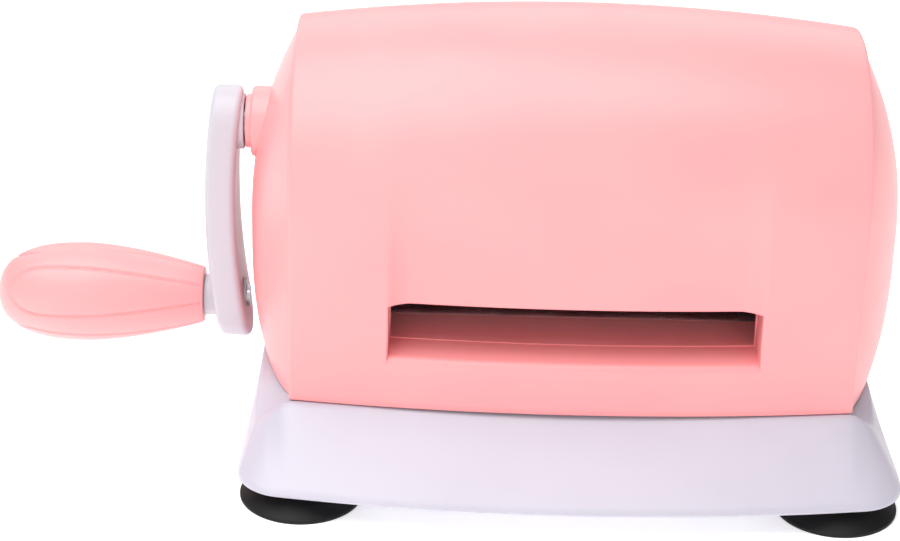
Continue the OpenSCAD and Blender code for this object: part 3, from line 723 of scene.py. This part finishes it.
# %% Skin of the base
base_rows = [[(x, y, base_z + z) for x, y in rim_outline(inset)]
             for z, inset in ((0, 0.9), (0.12, 0.45), (0.4, 0.12), (0.8, 0), (rim_height - 0.5, 0))]
rim_line = [(x, y, base_z + rim_height) for x, y in rim_outline()]
deck_line = [(x, y, deck_height(x, y)) for x, y in deck_outline()]
for share in (0.03, 0.08, 0.2, 0.35, 0.5, 0.65, 0.8, 0.9, 0.94):
    base_rows.append([tuple(Vector(a).lerp(Vector(b), share)) for a, b in zip(rim_line, deck_line)])
slope_end = base_rows[-1]
deck_start = [(x, y, deck_height(x, y)) for x, y in deck_outline(bend)]
for t in spaced(0, 1, 0.125)[1:]:
    near, over, far = (1 - t) ** 2, 2 * t * (1 - t), t ** 2
    base_rows.append([tuple(Vector(a) * near + Vector(b) * over + Vector(c) * far)
                      for a, b, c in zip(slope_end, deck_line, deck_start)])
ledge = [(x * (house_x + 0.4) / deck_x, y * 0.97, deck_z) for x, y in deck_outline(bend)]
opening = [(x * opening_x / deck_x, y * opening_y / deck_edge_y, deck_z) for x, y in deck_outline()]
for start, end, share in ((deck_start, ledge, 0.5), (deck_start, ledge, 1),
                          (ledge, opening, 0.4), (ledge, opening, 1)):
    base_rows.append([tuple(Vector(a).lerp(Vector(b), share)) for a, b in zip(start, end)])
base_points = [p for row in base_rows for p in row]
base = make_piece("base", base_points, ring_faces(len(base_rows), len(base_rows[0])),
                  "machine", "lavender_shell", lavender_abs, ("base_shell",), crease=60)
face_out(base, (0, -30, deck_z), (0, 0, 1))
give_wall(base, base_wall)

# %% [markdown]
# ## The suction feet
# Four rubber cups snap through the base plate by a neck. A cup is a smooth shallow cone that ends
# in a thin sealing lip on the table; above it come the neck and the barb that holds it. All four
# are turned from one profile, each at the middle of its packed foot.

# %% Feet
foot_radius = (foot_high.x - foot_low.x) / 2
foot_profile = softened([
    (1.9, 0, 0), (1.9, 4, 1), (0.9, foot_radius - 3.2, 1), (0, foot_radius - 1, 0.3),
    (0, foot_radius, 0.25), (0.8, foot_radius - 0.02, 0.3), (1.1, foot_radius - 0.5, 0.2),
    (3.4, foot_radius - 3.4, 0.8), (4.6, 8, 0.8), (5.55, 6.6, 0.3),
    (5.55, 3.5, 0), (7.6, 3.5, 0), (7.6, 5.1, 0.3), (10.6, 2.9, 0.4), (10.6, 0, 0)], steps=4)
for node in ("front_left_foot", "front_right_foot", "rear_left_foot", "rear_right_foot"):
    low, high = (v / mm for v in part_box(node))
    centre = ((low.x + high.x) / 2 - middle_x, (low.y + high.y) / 2, low.z)
    foot_points, foot_faces = spun(foot_profile, centre, "z", 96)
    foot = make_piece("rubber_" + node, foot_points, foot_faces, "machine", "foot_rubber",
                      foot_rubber, (node,), crease=60)
    face_out(foot, (centre[0] + foot_radius, centre[1], 0.5), (1, 0, 0))

# %% [markdown]
# ## The crank arm
# The arm is a lavender moulding with rounded edges, bowed so that it swings clear of the dome. Its
# outline is two circles joined by tangents. Each outline point remembers the centre it was turned
# about, so the outline can be set in by any amount, and rows of it at different depths give the
# rounded outer face, the side and the inner face.

# %% Outline of the arm
arm_end_r = grip_z - arm_low.z
arm_hub_r = arm_high.z - crank_z
arm_bow, arm_bow_z, arm_thick, arm_clear = 180.0, crank_z - 18, 6.8, 3.55
arm_face = house_x + dome_out + arm_clear + arm_thick
lean = math.asin((arm_end_r - arm_hub_r) / (crank_z - grip_z))


def arm_outline():
    """Outline points as (centre z, normal y, normal z, radius), once round."""
    points = [(crank_z, math.cos(a), math.sin(a), arm_hub_r)
              for a in np.linspace(lean, math.pi - lean, 33)]
    down = [(crank_z + (grip_z - crank_z) * t, math.cos(lean), math.sin(lean),
             arm_hub_r + (arm_end_r - arm_hub_r) * t) for t in np.linspace(0, 1, 25)[1:-1]]
    points += [(z, -ny, nz, r) for z, ny, nz, r in down]
    points += [(grip_z, math.cos(a), math.sin(a), arm_end_r)
               for a in np.linspace(math.pi - lean, 2 * math.pi + lean, 37)]
    return points + list(reversed(down))


def arm_row(inset, depth):
    """The outline set in by inset, at a depth below the bowed outer face."""
    row = []
    for centre_z, ny, nz, radius in arm_outline():
        keep = max(0, radius - inset)
        y, z = ny * keep, centre_z + nz * keep
        sag = (z - arm_bow_z) ** 2 / (2 * arm_bow)
        row.append((-(arm_face - sag - depth), y, z))
    return row


# %% [markdown]
# A bevel modifier would round the edges in one go, but with one radius for all of them. The rows
# give the outer edge and the inner edge a radius each, and they follow the bow exactly.

# %% Skin of the arm
outer_round, inner_round = 1.3, 1.5
face_insets = (9.5, 7.5, 5.5, 4, 2.6)
outer_face = [(inset, 0) for inset in face_insets]
turned_over = [(outer_round * (1 - math.sin(a)), outer_round * (1 - math.cos(a)))
               for a in np.linspace(0, math.pi / 2, 7)]
side_wall = [(0, arm_thick * 0.4), (0, arm_thick * 0.7)]
turned_in = [(inner_round * (1 - math.cos(a)), arm_thick - inner_round * (1 - math.sin(a)))
             for a in np.linspace(0, math.pi / 2, 6)]
inner_face = [(inset, arm_thick) for inset in reversed(face_insets)]
arm_rows = [arm_row(i, d) for i, d in outer_face + turned_over + side_wall + turned_in + inner_face]
arm_points = [p for row in arm_rows for p in row]
arm = make_piece("bowed_arm", arm_points, ring_faces(len(arm_rows), len(arm_rows[0])),
                 "crank", "lavender_shell", arm_abs, ("crank_arm",), crease=45)
face_out(arm, (-arm_face, 0, arm_bow_z), (-1, 0, 0))

# %% [markdown]
# The hub that grips the shaft and the short neck that carries the handle are turned forms on the
# same moulding. The head of the hub screw sits in a shallow pocket, which is cut with a boolean,
# since its round edge runs across the rows of the arm.

# %% Hub, neck and screw pocket
hub_sag = (crank_z - arm_bow_z) ** 2 / (2 * arm_bow)
neck_sag = (grip_z - arm_bow_z) ** 2 / (2 * arm_bow)
hub_face = arm_face - hub_sag
hub_in = house_x + dome_out - 0.1 + collar_length + 0.3


def cut(piece, points, faces):
    """Takes a closed form away from a piece, at once, and throws the form away."""
    cutter = bpy.data.objects.new("cutter", clean_mesh("cutter", points, faces, weld=0.001))
    bpy.context.scene.collection.objects.link(cutter)
    step = piece.modifiers.new("pocket", "BOOLEAN")
    step.operation, step.solver, step.object = "DIFFERENCE", "EXACT", cutter
    apply_modifiers(piece, crease=40)
    bpy.data.objects.remove(cutter)


pocket_radius, pocket_depth, hub_radius = 4.6, 2.3, 6.4
shaft_bore, pin_bore, neck_radius = 4.0, 3.0, 4.8
pocket = [(-3, 0), (-3, pocket_radius), (pocket_depth, pocket_radius), (pocket_depth, 0)]
cut(arm, *spun(pocket, (-hub_face, 0, crank_z), "x", 64))
hub_start = hub_face - hub_in
hub_back = pocket_depth + 0.4
hub_profile = softened([(hub_back, shaft_bore, 0), (hub_back, hub_radius, 0),
                        (hub_start, hub_radius, 0.4), (hub_start, shaft_bore + 0.05, 0.2),
                        (hub_back, shaft_bore, 0)])
hub = make_piece("arm_hub", *spun(hub_profile, (-hub_face, 0, crank_z), "x"), "crank",
                 "lavender_shell", arm_abs, ("crank_arm",))
face_out(hub, (-hub_in - 1.5, 0, crank_z + hub_radius), (0, 0, 1))
neck_root = neck_sag - arm_face
neck_tip = grip_high.x - middle_x + 0.05
neck_end = neck_tip - neck_root
neck_profile = softened([(2.0, pin_bore, 0), (neck_end, pin_bore, 0), (neck_end, neck_radius, 0.4),
                         (-0.2, neck_radius, 0.0), (0.3, neck_radius + 0.5, 0),
                         (2.0, neck_radius + 0.5, 0)])
neck = make_piece("arm_neck", *spun(neck_profile, (neck_root, 0, grip_z), "x"),
                  "crank", "lavender_shell", arm_abs, ("crank_arm",))
face_out(neck, (neck_root - 1.0, 0, grip_z + neck_radius), (0, 0, 1))

# %% [markdown]
# ## The grip
# The handle is a plump pink moulding that turns on a pin. It is thin at the arm and fullest past
# its middle. Four long petal outlines are moulded in round it as fine grooves; each petal widens
# towards the end and closes in a round tip. The first cell says how thick the grip is and how wide
# a petal is at each place along it.

# %% Shape of the grip
grip_length = grip_high.x - grip_low.x
grip_radius = (grip_high.z - grip_low.z) / 2
grip_start_r, grip_bore, belly = 6.5, 5.03, 0.567
petals, petal_lead = 4, math.radians(24.3)
petal_widest, petal_tip = 0.80, 0.925
petal_narrow, petal_wide = 18, 30.5
groove_depth, groove_width = 0.5, 0.38


def grip_profile(u):
    """Radius of the grip; u is 0 at the arm and 1 at the far end."""
    if u > belly:
        return grip_radius * max(0, 1 - ((u - belly) / (1 - belly)) ** 2.5) ** 0.4
    return grip_radius - (grip_radius - grip_start_r) * (1 - u / belly) ** 1.6


def petal_half(u):
    """Half the angle that a petal covers, in radians: wider to petal_widest, then a round tip."""
    if u < petal_widest:
        swing = (petal_wide - petal_narrow) * math.sin(math.pi / 2 * u / petal_widest)
        return math.radians(petal_narrow + swing)
    past = (u - petal_widest) / (petal_tip - petal_widest)
    return math.radians(petal_wide) * math.sqrt(max(0, 1 - past ** 2))


tip_turn = np.sin(np.linspace(0, np.pi / 2, 40)[1:])
outline_u = np.concatenate([np.linspace(0.0, petal_widest, 60),
                            petal_widest + (petal_tip - petal_widest) * tip_turn])
petal_line = np.array([(grip_profile(u) * petal_half(u), u * grip_length) for u in outline_u])
print("petal is", round(2 * petal_line[:, 0].max(), 1), "mm wide at its fullest")

# %% [markdown]
# The grooves could be a bump in the material, but they show in the outline and as shadows, so they
# are real. The body is a turned form with enough points for them, and each point is pushed in by
# its distance to the nearest petal outline.

# %% Body of the grip
around = 300
end_turn = np.sin(np.linspace(0, np.pi / 2, 84)[1:-1])
reach = np.concatenate([np.linspace(0.012, belly, 80), belly + (1 - belly) * end_turn])
angles = np.linspace(0, 2 * np.pi, around, endpoint=False)
pitch = 2 * np.pi / petals
from_petal = np.abs((angles - petal_lead + pitch / 2) % pitch - pitch / 2)
grip_points = []
grip_x = grip_high.x - middle_x
for u in reach:
    radius = grip_profile(u)
    spots = np.stack([radius * from_petal, np.full(around, u * grip_length)], axis=1)
    gap = np.linalg.norm(spots[:, None, :] - petal_line[None, :, :], axis=2).min(axis=1)
    pushed = radius - groove_depth * np.exp(-(gap / groove_width) ** 2)
    grip_points += [(grip_x - u * grip_length, -r * math.cos(a), r * math.sin(a))
                    for r, a in zip(pushed, angles)]
end_rings = softened([(44, grip_bore, 0), (0, grip_bore, 0.2), (0, grip_start_r, 0.35),
                      (0.55, grip_start_r + 0.1, 0)])
lead_in = []
for along, radius in end_rings:
    lead_in += [(grip_x - along, -radius * math.cos(a), radius * math.sin(a)) for a in angles]
grip_points = [(x, y, z + grip_z) for x, y, z in lead_in + grip_points]
ring_count = len(end_rings) + len(reach)
grip_faces = ring_faces(ring_count, around)
tip = len(grip_points)
grip_points.append((grip_x - grip_length, 0, grip_z))
grip_faces += [((ring_count - 1) * around + k, (ring_count - 1) * around + (k + 1) % around, tip)
               for k in range(around)]
handle = make_piece("petal_grip", grip_points, grip_faces, "grip", "pink_shell", pink_abs,
                    ("grip",), crease=50)
face_out(handle, (grip_x - belly * grip_length, 0, grip_z + grip_radius), (0, 0, 1))

# %% [markdown]
# ## Floor
# The machine stands on plain white studio paper. A bent backdrop is not needed, since the camera
# looks down and sees the floor only. The paper glows a little, so that it stays white right round
# the machine.

# %% Floor
floor_white, tree, place, output = new_material("white_studio_paper")
paper = blend(tree, noise(tree, place, 30, 3.0), "fbfbfb", "ffffff")
surface(tree, output, {"Base Color": paper, "Roughness": 0.8,
                       "Emission Color": (1, 1, 1, 1), "Emission Strength": 0.46})

floor_mesh = bpy.data.meshes.new("studio_floor")
half = 6.0
corners = [(-half, -half, 0), (half, -half, 0), (half, half, 0), (-half, half, 0)]
floor_mesh.from_pydata(corners, [], [(0, 1, 2, 3)])
floor_mesh.materials.append(floor_white)
floor = bpy.data.objects.new("studio_floor", floor_mesh)
bpy.context.scene.collection.objects.link(floor)
print("floor", 2 * half, "m square")

# %% [markdown]
# ## Light
# One large soft box hangs above, a little to the left, which makes the top of the arch the
# brightest pink and lets the front fall off gently. A second, weaker one fills from the front, a
# third behind the machine lights the top and the sides from the rear, and a pale sky lifts the
# shadows from all sides. Small lamps would give hard glints that soft studio light doesn't have.

# %% Lights
def soft_box(name, place_mm, aim_mm, width, height, power):
    """A white rectangular light at a place, turned to face a point; its sides are in metres."""
    data = bpy.data.lights.new(name, "AREA")
    data.shape, data.size, data.size_y, data.energy = "RECTANGLE", width, height, power
    lamp = bpy.data.objects.new(name, data)
    lamp.location = Vector(place_mm) * mm
    towards = Vector(aim_mm) * mm - lamp.location
    lamp.rotation_euler = towards.to_track_quat("-Z", "Y").to_euler()
    bpy.context.scene.collection.objects.link(lamp)


soft_box("overhead_box", (-250, -200, 1100), (30, 0, 40), 1.1, 1.1, 14.2)
soft_box("front_fill", (-200, -1200, 500), (30, 0, 50), 1.2, 0.9, 3.7)
soft_box("back_box", (-100, 900, 700), (30, 0, 70), 1.6, 1.0, 6.0)

sky = bpy.data.worlds.new("studio_sky")
sky.use_nodes = True
sky.node_tree.nodes.clear()
glow = add_node(sky.node_tree, "ShaderNodeBackground", {"Color": (1, 1, 1, 1), "Strength": 0.3})
add_node(sky.node_tree, "ShaderNodeOutputWorld", {"Surface": glow.outputs["Background"]})
bpy.context.scene.world = sky
bpy.context.scene.view_settings.view_transform = "Standard"
